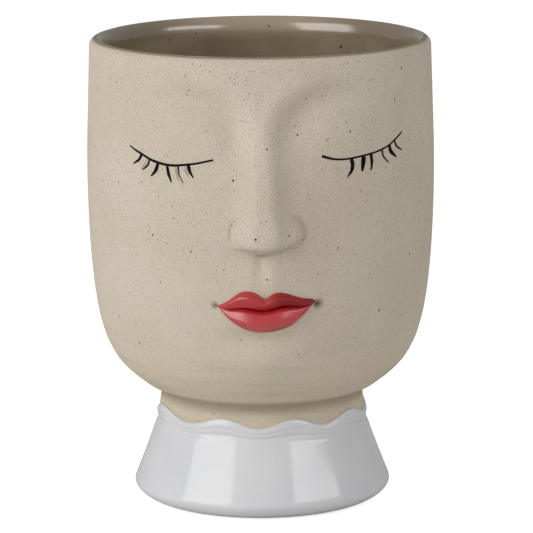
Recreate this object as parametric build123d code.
from build123d import *
import os
from math import atan2, cos, exp, hypot, log, pi, radians, sin, tan

# Head planter: a stoneware head, open at the crown, luted onto a flared foot with a ruffled collar.
# Millimetres. The origin is the centre of the foot on the table, +Z is up and the face looks along -Y.

# Head bowl
PEDESTAL_HEIGHT = 48.0
HEAD_HEIGHT = 152.0
BELLY_RADIUS = 74.0
HEAD_BASE_RADIUS = 42.8
RIM_TAPER = 1.3
RIM_ROUND = 3.2
LIP_DEPTH = 8.0
LIP_FLARE = 3.0
WALL = 6.6
FLOOR_THICKNESS = 8.0
FLOOR_STEP_IN = 5.0
LINING_THICKNESS = 0.6
JAW_POWER = 7.27
JAW_ROUNDNESS = 1.32
TAPER_POWER = 9
WALL_ROWS = 66
RIM_ROWS = 6
CAVITY_ROWS = 12
HALF_COLUMNS = 42
FRONT_DENSITY_SHARE = 0.42
JAW_DENSITY_POWER = 1.3
FIT_TOLERANCE = 0.03
FIT_DEGREE = 3
QUARTER_TURN = 90.0

# Places on the face, as shares of the head's height or turns about the axis in degrees
SOCKET_LEVEL_SHARE = 0.776
LID_MOUND_LEVEL_SHARE = 0.763
EYE_LEVEL_SHARE = 0.716
NOSE_BASE_LEVEL_SHARE = 0.4645
MOUTH_LEVEL_SHARE = 0.32
UNDER_LIP_LEVEL_SHARE = 0.23
CHIN_LEVEL_SHARE = 0.158
EYE_TURN = 33.5
LID_MOUND_TURN = 31.0
SOCKET_TURN = 26.3

# Nose
NOSE_LENGTH = 72.0
NOSE_PROJECTION = 14.0
NOSE_TIP_RISE = 9.0
BRIDGE_WIDTH = 12.0
NOSE_TIP_WIDTH = 18.5
BRIDGE_POWER = 1.05
WING_SPAN = 28.6
WING_LIFT = 10.2
WING_UPPER_HEIGHT = 7.4
WING_LOWER_HEIGHT = 6.2
WING_RISE = 5.6
WING_ROUNDNESS = 2.4
WING_EDGE_SHARE = 1.16
WING_SLOPE_SHARE = 0.5
NOSE_BLEND = 1.2

# Eye sockets with a crease under the brow, closed lids, mouth mound, hollow under the lip and chin
SOCKET_WIDTH = 57.0
SOCKET_HEIGHT = 41.6
SOCKET_DEPTH = 3.0
SOCKET_CREASE_TURN = 142.0
SOCKET_CREASE_SPREAD = 66.0
SOCKET_RING_SHARE = 0.8
SOCKET_RING_SPREAD_SHARE = 0.26
LID_MOUND_WIDTH = 46.0
LID_MOUND_HEIGHT = 24.0
LID_MOUND_RISE = 1.4
MUZZLE_WIDTH = 44.0
MUZZLE_HEIGHT = 30.0
MUZZLE_RISE = 2.4
UNDER_LIP_WIDTH = 30.0
UNDER_LIP_HEIGHT = 8.0
UNDER_LIP_DEPTH = 1.2
CHIN_WIDTH = 34.0
CHIN_HEIGHT = 22.0
CHIN_RISE = 1.8

# Lips
MOUTH_WIDTH = 42.5
UPPER_LIP_HEIGHT = 7.6
LOWER_LIP_HEIGHT = 9.8
UPPER_LIP_FULLNESS = 2.8
LOWER_LIP_FULLNESS = 3.6
CORNER_RISE = 1.4
PARTING_GAP = 0.5
LIP_EDGE = 0.3
LIP_SEAT = 1.0
LIP_FULLNESS_SHARES = (1.0, 1.0, 0.98, 0.9, 0.72, 0.42, 0.14)
LIP_STATION_SHARES = (0.0, 0.12, 0.27, 0.45, 0.65, 0.85, 1.0)
UPPER_LIP_SHARES = (0.58, 0.78, 1.0, 0.9, 0.66, 0.38, 0.16)
LOWER_LIP_SHARES = (1.0, 0.99, 0.95, 0.84, 0.63, 0.36, 0.13)

# Painted lid lines and lashes, laid into grooves in the clay
LID_LENGTH = 42.0
LID_SAG = 4.0
LID_LOW_SHARE = -0.33
LID_END_SHARE = 0.5
LID_WIDTH = 1.3
LID_STATIONS = 9
LASH_LENGTH = 7.4
LASH_WIDTH = 1.3
LASH_CURL = 0.5
LASH_ROOT_GAP = 0.25
INLAY_PROUD = 0.25
INLAY_DEPTH = 0.6
LASH_ROOT_SHARES = (-0.62, -0.28, 0.04, 0.36, 0.63, 0.87)
LASH_LENGTH_SHARES = (0.86, 1.0, 0.97, 0.88, 0.78, 0.68)
LASH_LEANS = (-18, -12, 2, 20, 30, 38)
LASH_WIDTH_SHARES = (0.85, 1.0, 0.9, 0.72, 0.28)

# Pedestal, its white collar and the ruffle
FLARE_RADIUS = 58.4
COLLAR_HEIGHT = 38.4
COLLAR_TOP_RADIUS = 44.2
FOOT_ROUND = 8.6
FOOT_RING_WIDTH = 2.4
FOOT_BARE_HEIGHT = 1.2
PEDESTAL_WALL = 6.9
SHELF_THICKNESS = 9.0
NECK_BULGE = 0.6
NECK_STEP_OUT = 0.4
COLLAR_COAT = 0.8
RUFFLE_WAVES = 8
RUFFLE_WAVE_HEIGHT = 1.9
RUFFLE_SHIFT = 45.0
RUFFLE_DRIFT = 45.0
RUFFLE_DRIFT_WAVES = 2
RUFFLE_DRIFT_SHIFT = 60.0
RUFFLE_BEAD_HEIGHT = 4.8
RUFFLE_BEAD_DEPTH = 4.2
RUFFLE_PROUD = 1.1
RUFFLE_COLUMNS_PER_WAVE = 12
RUFFLE_ROWS = 20

# Luted joint between head and pedestal, drain hole and stopper
LUTE_THICKNESS = 0.6
LUTE_SET_IN = 1.0
SPIGOT_RADIUS = 24.0
SPIGOT_DEPTH = 5.0
SPIGOT_CLEARANCE = 0.4
DRAIN_RADIUS = 7.0
STEM_CLEARANCE = 0.3
STEM_SET_BACK = 1.0
FLANGE_RADIUS = 11.0
FLANGE_THICKNESS = 3.0
KNOB_RADIUS = 4.2
KNOB_HEIGHT = 5.5
STOPPER_ROUND = 1.0
CUT_OVERRUN = 5.0

HEAD_TOP = PEDESTAL_HEIGHT + HEAD_HEIGHT
FLOOR_TOP = PEDESTAL_HEIGHT + FLOOR_THICKNESS
LINING_TOP = FLOOR_TOP + LINING_THICKNESS
FLARE_SLOPE = (FLARE_RADIUS - COLLAR_TOP_RADIUS) / COLLAR_HEIGHT
FLARE_LEAN = atan2(FLARE_RADIUS - COLLAR_TOP_RADIUS, COLLAR_HEIGHT)


def level(share):
    """Height over the table of a place on the face."""
    return PEDESTAL_HEIGHT + share * HEAD_HEIGHT


def wall_radius(height, floor, floor_radius, belly_radius):
    """Radius of a round wall that swells fast over the jaw and draws in a little at the rim."""
    share = (height - floor) / (HEAD_TOP - floor)
    swell = (1 - (1 - share) ** JAW_POWER) ** (1 / JAW_ROUNDNESS)
    return floor_radius + (belly_radius - floor_radius) * swell - RIM_TAPER * share ** TAPER_POWER


def bell(offset, width):
    """A smooth mound that falls away from its middle over half of its width."""
    return exp(-((2 * offset / width) ** 2))


def smooth_step(share):
    """A smooth step from 0 to 1."""
    share = min(max(share, 0), 1)
    return share * share * (3 - 2 * share)


def nose_rise(across, height):
    """The nose: a ridge that grows from the brow to the tip, blended with the wider form of its wings."""
    base = level(NOSE_BASE_LEVEL_SHARE)
    fall = (base + NOSE_LENGTH - height) / (NOSE_LENGTH - NOSE_TIP_RISE)
    fall = min(max(fall, 0), 1)
    under = sin(pi / 2 * min(max((height - base) / NOSE_TIP_RISE, 0), 1))
    width = BRIDGE_WIDTH + (NOSE_TIP_WIDTH - BRIDGE_WIDTH) * fall
    ridge = NOSE_PROJECTION * fall ** BRIDGE_POWER * under / (1 + (2 * across / width) ** 4)
    lift = height - base - WING_LIFT
    reach = WING_UPPER_HEIGHT if lift > 0 else WING_LOWER_HEIGHT
    ring = abs(2 * across / WING_SPAN) ** WING_ROUNDNESS + abs(lift / reach) ** WING_ROUNDNESS
    wing = WING_RISE * smooth_step((WING_EDGE_SHARE - ring ** (1 / WING_ROUNDNESS)) / WING_SLOPE_SHARE)
    return NOSE_BLEND * log((exp(ridge / NOSE_BLEND) + exp(wing / NOSE_BLEND)) / 2)


def eye_rise(across, height):
    """The round of a closed lid, and the crease round it that is deepest between brow and nose."""
    side = 2 * (abs(across) - BELLY_RADIUS * radians(SOCKET_TURN)) / SOCKET_WIDTH
    up = 2 * (height - level(SOCKET_LEVEL_SHARE)) / SOCKET_HEIGHT
    turn = atan2(up, side)
    if turn < -pi / 2:
        turn += 2 * pi
    crease = exp(-(((hypot(side, up) - SOCKET_RING_SHARE) / SOCKET_RING_SPREAD_SHARE) ** 2))
    crease *= exp(-(((turn - radians(SOCKET_CREASE_TURN)) / radians(SOCKET_CREASE_SPREAD)) ** 2))
    lid = bell(abs(across) - BELLY_RADIUS * radians(LID_MOUND_TURN), LID_MOUND_WIDTH)
    lid *= bell(height - level(LID_MOUND_LEVEL_SHARE), LID_MOUND_HEIGHT)
    return LID_MOUND_RISE * lid - SOCKET_DEPTH * crease


def mouth_rise(across, height):
    """The mound that carries the lips, the hollow under them and the chin."""
    muzzle = bell(across, MUZZLE_WIDTH) * bell(height - level(MOUTH_LEVEL_SHARE), MUZZLE_HEIGHT)
    hollow = bell(across, UNDER_LIP_WIDTH) * bell(height - level(UNDER_LIP_LEVEL_SHARE), UNDER_LIP_HEIGHT)
    chin = bell(across, CHIN_WIDTH) * bell(height - level(CHIN_LEVEL_SHARE), CHIN_HEIGHT)
    return MUZZLE_RISE * muzzle - UNDER_LIP_DEPTH * hollow + CHIN_RISE * chin


def face_rise(across, height):
    """How far the face stands proud of the round wall, at an arc from its midline and a height."""
    return nose_rise(across, height) + eye_rise(across, height) + mouth_rise(across, height)


def head_radius(turn, height):
    """Radius of the head's outside at a turn about the axis, in radians, and a height."""
    wall = wall_radius(height, PEDESTAL_HEIGHT, HEAD_BASE_RADIUS, BELLY_RADIUS)
    return wall + face_rise(BELLY_RADIUS * turn, height)


def round_point(turn, radius, height):
    """A point at a turn about the axis, where no turn is the middle of the face."""
    return Vector(radius * sin(turn), -radius * cos(turn), height)


def face_point(across, height, lift):
    """A point at an arc from the face's midline, lifted off the clay."""
    turn = across / BELLY_RADIUS
    return round_point(turn, head_radius(turn, height) + lift, height)


def head_column(turn):
    """One upright line of points on the outside, from the seat to the crest of the rim."""
    shoulder = HEAD_TOP - RIM_ROUND
    points = []
    for row in range(WALL_ROWS + 1):
        height = PEDESTAL_HEIGHT + (shoulder - PEDESTAL_HEIGHT) * (row / WALL_ROWS) ** JAW_DENSITY_POWER
        points.append(round_point(turn, head_radius(turn, height), height))
    shoulder_radius = head_radius(turn, shoulder)
    for row in range(1, RIM_ROWS + 1):
        angle = pi / 2 * row / RIM_ROWS
        radius = shoulder_radius - RIM_ROUND * (1 - cos(angle))
        points.append(round_point(turn, radius, shoulder + RIM_ROUND * sin(angle)))
    return points


def head_shell():
    """The head's outside as a closed solid, before it is hollowed."""
    columns = []
    for index in range(-HALF_COLUMNS, HALF_COLUMNS):
        share = index / HALF_COLUMNS
        turn = pi * (FRONT_DENSITY_SHARE * share + (1 - FRONT_DENSITY_SHARE) * share ** 3)
        columns.append(head_column(turn))
    columns.append(columns[0])
    wall = Face.make_surface_from_array_of_points(columns, FIT_TOLERANCE, None, FIT_DEGREE, FIT_DEGREE)
    caps = [Face(Wire([edge])) for edge in wall.edges() if edge.is_closed]
    return Solid(Shell([wall] + caps))


def inner_radius(height, inset):
    """Radius of the bowl's inside, or of its lining when inset by the lining's thickness."""
    floor_radius = HEAD_BASE_RADIUS - FLOOR_STEP_IN - inset
    return wall_radius(height, FLOOR_TOP + inset, floor_radius, BELLY_RADIUS - WALL - inset)


def turned(outline):
    """A solid turned about the axis from a closed outline of radius and height."""
    return revolve(Plane.XZ * make_face(outline), axis=Axis.Z)


def pillar(radius, bottom, top):
    """An upright cylinder on the axis."""
    return Pos(0, 0, bottom) * Cylinder(radius, top - bottom, align=(Align.CENTER, Align.CENTER, Align.MIN))


def bowl_cavity(inset):
    """The space inside the bowl, which flares out to the crest of the rim."""
    floor = FLOOR_TOP + inset
    shoulder = HEAD_TOP - LIP_DEPTH
    side_points = []
    for row in range(CAVITY_ROWS + 1):
        height = floor + (shoulder - floor) * (row / CAVITY_ROWS) ** 2
        side_points.append((inner_radius(height, inset), height))
    crest = side_points[-1][0] + LIP_FLARE
    over = HEAD_TOP + CUT_OVERRUN
    outline = Spline(side_points)
    slope_middle = (crest, shoulder)
    outline += EllipticalCenterArc(slope_middle, LIP_FLARE, LIP_DEPTH, QUARTER_TURN, arc_size=QUARTER_TURN)
    outline += Polyline((crest, HEAD_TOP), (crest, over), (0, over), (0, floor), side_points[0])
    return turned(outline)


def drain_bore():
    """The round hole through the floor, the spigot and the lining."""
    return pillar(DRAIN_RADIUS, PEDESTAL_HEIGHT - SPIGOT_DEPTH - CUT_OVERRUN, LINING_TOP + CUT_OVERRUN)


def make_head(inlays):
    """The head bowl with its spigot, its drain hole and a seat for each inlay."""
    spigot = pillar(SPIGOT_RADIUS, PEDESTAL_HEIGHT - SPIGOT_DEPTH, PEDESTAL_HEIGHT + FLOOR_THICKNESS / 2)
    return head_shell() + spigot - [bowl_cavity(0), drain_bore()] - inlays


def make_lining():
    """The glaze that covers the bowl's floor and wall up to the crest of the rim."""
    above_rim = pillar(BELLY_RADIUS, HEAD_TOP, HEAD_TOP + CUT_OVERRUN * 2)
    return bowl_cavity(0) - [bowl_cavity(LINING_THICKNESS), above_rim, drain_bore()]


def lip_section(across, low, high, fullness):
    """An upright slice of a lip: a rounded front, and a back sunk into the face."""
    front_low = face_point(across, low, LIP_EDGE)
    front_high = face_point(across, high, LIP_EDGE)
    crown = face_point(across, (low + high) / 2, LIP_EDGE + fullness)
    back_low = face_point(across, low, -LIP_SEAT)
    back_high = face_point(across, high, -LIP_SEAT)
    front = ThreePointArc(front_low, crown, front_high)
    return make_face(front + Polyline(front_high, back_high, back_low, front_low))


def lip_stations():
    """Shares of the half mouth from the left corner to the right, each with its place in the tables."""
    last = len(LIP_STATION_SHARES) - 1
    left = [(-LIP_STATION_SHARES[index], index) for index in range(last, 0, -1)]
    return left + [(share, index) for index, share in enumerate(LIP_STATION_SHARES)]


def parting(share):
    """Height of the line between the lips, which rises to the corners of the mouth."""
    return level(MOUTH_LEVEL_SHARE) + CORNER_RISE * share ** 2


def make_upper_lip():
    """The upper lip, with its bow."""
    sections = []
    for share, index in lip_stations():
        low = parting(share) + PARTING_GAP / 2
        high = parting(share) + UPPER_LIP_HEIGHT * UPPER_LIP_SHARES[index]
        fullness = UPPER_LIP_FULLNESS * LIP_FULLNESS_SHARES[index]
        sections.append(lip_section(share * MOUTH_WIDTH / 2, low, high, fullness))
    return loft(sections)


def make_lower_lip():
    """The lower lip, one full curve."""
    sections = []
    for share, index in lip_stations():
        low = parting(share) - LOWER_LIP_HEIGHT * LOWER_LIP_SHARES[index]
        high = parting(share) - PARTING_GAP / 2
        fullness = LOWER_LIP_FULLNESS * LIP_FULLNESS_SHARES[index]
        sections.append(lip_section(share * MOUTH_WIDTH / 2, low, high, fullness))
    return loft(sections)


def stroke(stations):
    """A thin line of slip along stations of across, height and width, laid into the face."""
    sections = []
    for index, (across, height, width) in enumerate(stations):
        before = stations[max(index - 1, 0)]
        after = stations[min(index + 1, len(stations) - 1)]
        along = face_point(after[0], after[1], 0) - face_point(before[0], before[1], 0)
        out = round_point(across / BELLY_RADIUS, 1, 0)
        side = out.cross(along).normalized() * (width / 2)
        middle = face_point(across, height, 0)
        top = middle + out * INLAY_PROUD
        bottom = middle - out * INLAY_DEPTH
        corners = [top - side, top + side, bottom + side, bottom - side]
        sections.append(make_face(Polyline(*corners, close=True)))
    return loft(sections)


def lid_place(eye_side, share):
    """Arc from the midline and height of a point on a closed lid, from its inner to its outer end."""
    across = eye_side * (BELLY_RADIUS * radians(EYE_TURN) + share * LID_LENGTH / 2)
    return across, level(EYE_LEVEL_SHARE) + LID_SAG * (share - LID_LOW_SHARE) ** 2


def make_lid_line(eye_side):
    """The dark line of one closed lid, thinner at its ends."""
    stations = []
    for index in range(LID_STATIONS):
        share = 2 * index / (LID_STATIONS - 1) - 1
        width = LID_WIDTH * (1 - (1 - LID_END_SHARE) * share ** 2)
        stations.append((*lid_place(eye_side, share), width))
    return stroke(stations)


def make_lashes(eye_side):
    """The lashes under one lid, each a tapered stroke that curls outwards."""
    lashes = []
    for root, length_share, lean in zip(LASH_ROOT_SHARES, LASH_LENGTH_SHARES, LASH_LEANS):
        across, height = lid_place(eye_side, root)
        height -= LID_WIDTH / 2 + LASH_ROOT_GAP
        length = LASH_LENGTH * length_share
        stations = []
        for index, width_share in enumerate(LASH_WIDTH_SHARES):
            share = index / (len(LASH_WIDTH_SHARES) - 1)
            aside = share * length * sin(radians(lean)) + LASH_CURL * share ** 2
            drop = share * length * cos(radians(lean))
            stations.append((across + eye_side * aside, height - drop, LASH_WIDTH * width_share))
        lashes.append(stroke(stations))
    return lashes


def flare_outline(inset):
    """The foot's round and the flare above it, inset by a coat's thickness, from table to collar top."""
    slant = inset / cos(FLARE_LEAN)
    corner = FLARE_RADIUS - FLARE_SLOPE * inset - slant
    return FilletPolyline(
        (0, inset),
        (corner, inset),
        (COLLAR_TOP_RADIUS - slant, COLLAR_HEIGHT),
        radius=FOOT_ROUND - inset,
    )


def flare_section(inset):
    """The flare as a face from the axis outwards."""
    top_radius = COLLAR_TOP_RADIUS - inset / cos(FLARE_LEAN)
    closing = Polyline((top_radius, COLLAR_HEIGHT), (0, COLLAR_HEIGHT), (0, inset))
    return make_face(flare_outline(inset) + closing)


def make_collar():
    """The white glaze on the flare, which stops short of the table."""
    bare_foot = Pos(0, FOOT_BARE_HEIGHT / 2) * Rectangle(FLARE_RADIUS * 2, FOOT_BARE_HEIGHT)
    section = flare_section(0) - flare_section(COLLAR_COAT) - bare_foot
    return revolve(Plane.XZ * section, axis=Axis.Z)


def make_pedestal(collar):
    """The hollow clay foot with a neck band on top and a round socket for the head's spigot."""
    top = PEDESTAL_HEIGHT - LUTE_THICKNESS
    neck_radius = HEAD_BASE_RADIUS + NECK_STEP_OUT
    shelf = top - SHELF_THICKNESS
    socket_radius = SPIGOT_RADIUS + SPIGOT_CLEARANCE
    contact_radius = FLARE_RADIUS - FOOT_ROUND / tan((pi / 2 - FLARE_LEAN) / 2)
    closing = SagittaArc((COLLAR_TOP_RADIUS, COLLAR_HEIGHT), (neck_radius, top), -NECK_BULGE)
    closing += Polyline((neck_radius, top), (0, top), (0, 0))
    outside = turned(flare_outline(0) + closing)
    hollow_top_radius = FLARE_RADIUS - FLARE_SLOPE * shelf - PEDESTAL_WALL
    hollow_low_radius = FLARE_RADIUS - FLARE_SLOPE * FOOT_ROUND - PEDESTAL_WALL
    hollow = Polyline(
        (0, 0),
        (contact_radius - FOOT_RING_WIDTH, 0),
        (hollow_low_radius, FOOT_ROUND),
        (hollow_top_radius, shelf),
        (0, shelf),
        close=True,
    )
    socket = pillar(socket_radius, shelf - CUT_OVERRUN, top + CUT_OVERRUN)
    return outside - [turned(hollow), socket, collar]


def make_ruffle(pedestal, collar):
    """The wavy bead that covers the top edge of the collar."""
    middle_radius = COLLAR_TOP_RADIUS + RUFFLE_PROUD - RUFFLE_BEAD_DEPTH / 2
    columns = []
    for column in range(RUFFLE_WAVES * RUFFLE_COLUMNS_PER_WAVE):
        turn = 2 * pi * column / (RUFFLE_WAVES * RUFFLE_COLUMNS_PER_WAVE)
        drift = RUFFLE_DRIFT * cos(RUFFLE_DRIFT_WAVES * turn + radians(RUFFLE_DRIFT_SHIFT))
        phase = RUFFLE_WAVES * turn + radians(RUFFLE_SHIFT - drift)
        height = COLLAR_HEIGHT - RUFFLE_WAVE_HEIGHT * cos(phase)
        points = []
        for row in range(RUFFLE_ROWS):
            angle = 2 * pi * row / RUFFLE_ROWS
            radius = middle_radius + RUFFLE_BEAD_DEPTH / 2 * cos(angle)
            points.append(round_point(turn, radius, height + RUFFLE_BEAD_HEIGHT / 2 * sin(angle)))
        columns.append(points + points[:1])
    columns.append(columns[0])
    skin = Face.make_surface_from_array_of_points(columns, FIT_TOLERANCE, None, FIT_DEGREE, FIT_DEGREE)
    return Solid(Shell([skin])) - [pedestal, collar]


def make_luting():
    """The thin ring of slip that bonds the head to the pedestal."""
    bottom = PEDESTAL_HEIGHT - LUTE_THICKNESS
    ring = pillar(HEAD_BASE_RADIUS - LUTE_SET_IN, bottom, PEDESTAL_HEIGHT)
    return ring - pillar(SPIGOT_RADIUS + SPIGOT_CLEARANCE + LUTE_SET_IN, bottom, PEDESTAL_HEIGHT)


def make_stopper():
    """The bung that closes the drain hole, with a flange on the lining and a knob to lift it by."""
    stem_radius = DRAIN_RADIUS - STEM_CLEARANCE
    stem_end = PEDESTAL_HEIGHT - SPIGOT_DEPTH + STEM_SET_BACK
    flange_top = LINING_TOP + FLANGE_THICKNESS
    knob_top = flange_top + KNOB_HEIGHT
    profile = make_face(
        Polyline(
            (0, stem_end),
            (stem_radius, stem_end),
            (stem_radius, LINING_TOP),
            (FLANGE_RADIUS, LINING_TOP),
            (FLANGE_RADIUS, flange_top),
            (KNOB_RADIUS, flange_top),
            (KNOB_RADIUS, knob_top),
            (0, knob_top),
            close=True,
        )
    )
    corners = [v for v in profile.vertices() if v.X > 0 and (v.Y > LINING_TOP or v.Y < FLOOR_TOP)]
    return revolve(Plane.XZ * fillet(corners, STOPPER_ROUND), axis=Axis.Z)


def build_nodes():
    """Every piece of the planter by name; left and right are as seen from in front of the face."""
    lips = {"upper_lip": make_upper_lip(), "lower_lip": make_lower_lip()}
    lids = {"left_lid_line": make_lid_line(-1), "right_lid_line": make_lid_line(1)}
    left_lashes = make_lashes(-1)
    right_lashes = make_lashes(1)
    inlays = [*lips.values(), *lids.values(), *left_lashes, *right_lashes]
    collar = make_collar()
    pedestal = make_pedestal(collar)
    return {
        "head_bowl": make_head(inlays),
        "bowl_lining": make_lining(),
        **lips,
        **lids,
        "left_lashes": Compound(left_lashes),
        "right_lashes": Compound(right_lashes),
        "neck_pedestal": pedestal,
        "collar_glaze": collar,
        "collar_ruffle": make_ruffle(pedestal, collar),
        "luting_ring": make_luting(),
        "drain_stopper": make_stopper(),
    }


os.makedirs("parts", exist_ok=True)
for name, shape in build_nodes().items():
    export_step(shape, f"parts/{name}.step")
    print(name, round(shape.volume))
